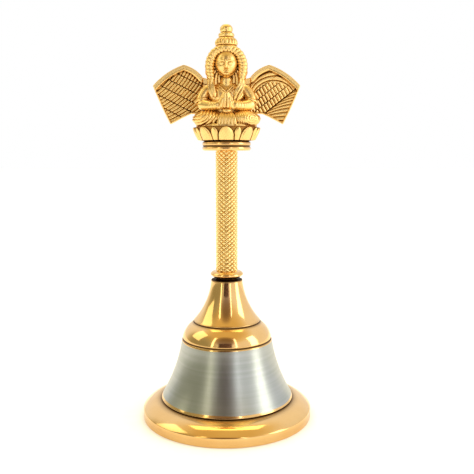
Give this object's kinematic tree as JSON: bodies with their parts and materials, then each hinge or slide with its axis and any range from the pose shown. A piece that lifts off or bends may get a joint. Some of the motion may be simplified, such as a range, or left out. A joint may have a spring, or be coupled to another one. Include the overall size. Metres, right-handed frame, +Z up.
{
  "type": "brass puja bell",
  "caption": "Hand bell with a flared cup, a knurled grip and a winged seated figure on a lotus; the clapper hangs on a wire link.",
  "frame": {"origin": "centre of the rim's resting face, on the table", "axes": "+Z up along the bell's axis, the figure faces -Y, its left wing is on +X"},
  "size_m": [0.07, 0.07, 0.1592],
  "materials": {
    "turned_brass": "turned and polished, with a satin nickel band on the skirt",
    "knurled_brass": "knurled and polished",
    "cast_brass": "sand cast, polished on the high points, brown patina in the recesses",
    "clapper_brass": "cast ball, tumbled",
    "zinc_plated_steel": "zinc plated, dull"
  },
  "bodies": {
    "bell": {"bell_cup": "turned_brass", "crown_washer": "zinc_plated_steel", "lock_nut": "zinc_plated_steel", "eye_stud": "zinc_plated_steel", "grip_collar": "turned_brass", "grip_rod": "knurled_brass", "seat_plate": "turned_brass", "seat_stud": "zinc_plated_steel", "lotus_seat": "cast_brass", "seated_figure": "cast_brass", "wing_left": "cast_brass", "wing_right": "cast_brass"},
    "link": {"swing_link": "zinc_plated_steel"},
    "clapper": {"clapper_rod": "zinc_plated_steel", "clapper_ball": "clapper_brass"}
  },
  "joints": [
    {"name": "link_swing", "type": "hinge", "parent": "bell", "child": "link", "pos_m": [0, 0, 0.0384], "axis": [1, 0, 0], "range_deg": [-24, 24]},
    {"name": "clapper_swing", "type": "hinge", "parent": "link", "child": "clapper", "pos_m": [0, 0, 0.0339], "axis": [0, 1, 0], "range_deg": [-24, 24]}
  ]
}
